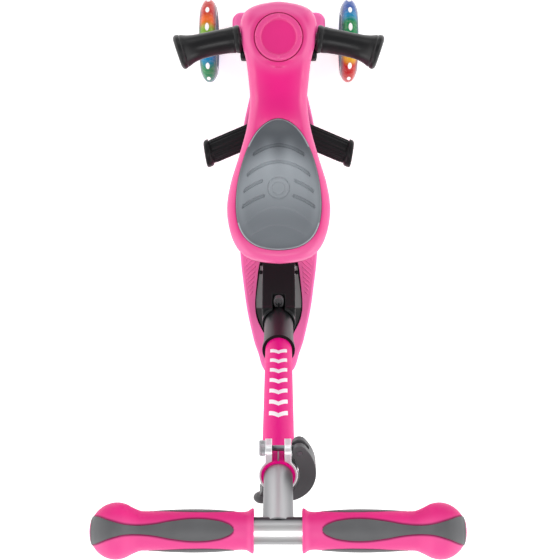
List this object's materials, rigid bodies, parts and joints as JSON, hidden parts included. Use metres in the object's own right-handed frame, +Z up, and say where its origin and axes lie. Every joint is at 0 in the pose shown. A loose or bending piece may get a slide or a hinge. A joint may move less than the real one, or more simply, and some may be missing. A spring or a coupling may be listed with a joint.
{
  "type": "kick scooter",
  "caption": "Toddler kick scooter with light-up front wheels, a padded seat on a leaning column, footrests, a rear brake and a plug-in telescopic push handle.",
  "frame": {"origin": "on the floor under the middle of the whole object", "axes": "+Z up, -Y towards the front wheels, X along the axles; the clamp lever is on the -X side"},
  "size_m": [0.3588, 0.6804, 0.6868],
  "materials": {
    "steel": "satin",
    "screw_steel": "satin",
    "pink_plastic": "satin",
    "cast_alloy": "satin",
    "pink_paint": "gloss",
    "silver": "satin",
    "black_plastic": "satin",
    "grey_plastic": "satin",
    "dark_grey_plastic": "satin",
    "pad_grey": "satin",
    "black_rubber": "matt",
    "clear_tyre": "gloss",
    "rear_tyre": "satin",
    "white_core": "gloss",
    "lights": "gloss",
    "bearing_steel": "polished",
    "magnet": "satin",
    "pink_rubber": "matt",
    "inlay_grey": "matt"
  },
  "bodies": {
    "deck": {"backbone": "steel", "fork_plates": "steel", "deck_board": "pink_plastic", "deck_screws": "screw_steel", "front_casting": "cast_alloy", "nose_housing": "pink_plastic", "housing_screws": "screw_steel", "column_tube": "pink_paint", "kingpin_bolt": "screw_steel", "kingpin_nut": "screw_steel", "rear_axle_bolt": "screw_steel", "rear_axle_nut": "screw_steel", "rear_spacers": "screw_steel", "rear_dock": "black_plastic", "dock_screws": "screw_steel", "brake_pin": "screw_steel", "brake_spring": "steel"},
    "front_truck": {"axle_beam": "cast_alloy", "steer_bush": "black_rubber", "front_axle_bolts": "screw_steel", "magnet_cores": "magnet"},
    "front_wheel_left": {"tyre_left": "clear_tyre", "core_left": "white_core", "led_ring_left": "lights", "bearings_left": "bearing_steel"},
    "front_wheel_right": {"tyre_right": "clear_tyre", "core_right": "white_core", "led_ring_right": "lights", "bearings_right": "bearing_steel"},
    "rear_wheel": {"rear_tyre": "rear_tyre", "rear_core": "dark_grey_plastic", "rear_bearings": "bearing_steel"},
    "brake": {"brake_flap": "grey_plastic"},
    "seat_unit": {"seat_body": "pink_plastic", "seat_underside": "black_plastic", "seat_pad": "pad_grey", "seat_screws": "screw_steel", "column_bush": "black_plastic", "toddler_bar": "steel", "toddler_hub": "black_plastic", "toddler_grips": "black_rubber"},
    "seat_button": {"seat_button": "black_plastic"},
    "head_cap": {"cap": "pink_plastic"},
    "footrests": {"footrest": "black_plastic"},
    "t_bar": {"bar_sleeve": "black_plastic", "lower_tube": "pink_paint", "tube_bush": "pink_paint", "clamp_collar": "silver", "clamp_bolt": "screw_steel", "clamp_nut": "silver"},
    "bar_button": {"bar_button": "black_plastic"},
    "clamp_lever": {"lever": "dark_grey_plastic", "lever_pin": "screw_steel"},
    "upper_bar": {"upper_tube": "silver", "crossbar": "silver", "grip_left": "pink_rubber", "grip_right": "pink_rubber", "grip_inlays": "inlay_grey"}
  },
  "joints": [
    {"name": "lean_steer", "type": "hinge", "parent": "deck", "child": "front_truck", "pos_m": [0, -0.27955, 0.0605], "axis": [0, -0.7071, 0.7071], "range_deg": [-12, 12], "stiffness_Nm_per_rad": 6},
    {"name": "front_spin_left", "type": "hinge", "parent": "front_truck", "child": "front_wheel_left", "pos_m": [0.1029, -0.27955, 0.0605], "axis": [1, 0, 0], "continuous": true},
    {"name": "front_spin_right", "type": "hinge", "parent": "front_truck", "child": "front_wheel_right", "pos_m": [-0.1029, -0.27955, 0.0605], "axis": [1, 0, 0], "continuous": true},
    {"name": "rear_spin", "type": "hinge", "parent": "deck", "child": "rear_wheel", "pos_m": [0, 0.17245, 0.04], "axis": [1, 0, 0], "continuous": true},
    {"name": "brake_press", "type": "hinge", "parent": "deck", "child": "brake", "pos_m": [0, 0.06345, 0.074], "axis": [-1, 0, 0], "range_deg": [0, 1.1], "stiffness_Nm_per_rad": 4, "springref_deg": -2.86},
    {"name": "seat_height", "type": "slide", "parent": "deck", "child": "seat_unit", "axis": [0, 0.1478, 0.989], "range_m": [0, 0.03]},
    {"name": "seat_button_press", "type": "slide", "parent": "seat_unit", "child": "seat_button", "axis": [0, 1, 0], "range_m": [0, 0.002], "stiffness_N_per_m": 400, "springref_m": -0.002},
    {"name": "cap_turn", "type": "hinge", "parent": "seat_unit", "child": "head_cap", "pos_m": [0, -0.23385, 0.3], "axis": [0, 0, 1], "range_deg": [0, 45]},
    {"name": "footrest_lift", "type": "slide", "parent": "deck", "child": "footrests", "axis": [0, 0, 1], "range_m": [0, 0.05]},
    {"name": "bar_pull_out", "type": "slide", "parent": "deck", "child": "t_bar", "axis": [0, 0.3327, 0.943], "range_m": [0, 0.12]},
    {"name": "bar_button_press", "type": "slide", "parent": "t_bar", "child": "bar_button", "axis": [0, 0.943, -0.3327], "range_m": [0, 0.004], "stiffness_N_per_m": 600, "springref_m": -0.002},
    {"name": "lever_swing", "type": "hinge", "parent": "t_bar", "child": "clamp_lever", "pos_m": [-0.022, 0.25039, 0.55626], "axis": [0, 0.3327, 0.943], "range_deg": [0, 135]},
    {"name": "handle_height", "type": "slide", "parent": "t_bar", "child": "upper_bar", "axis": [0, 0.3327, 0.943], "range_m": [-0.045, 0.12]}
  ]
}
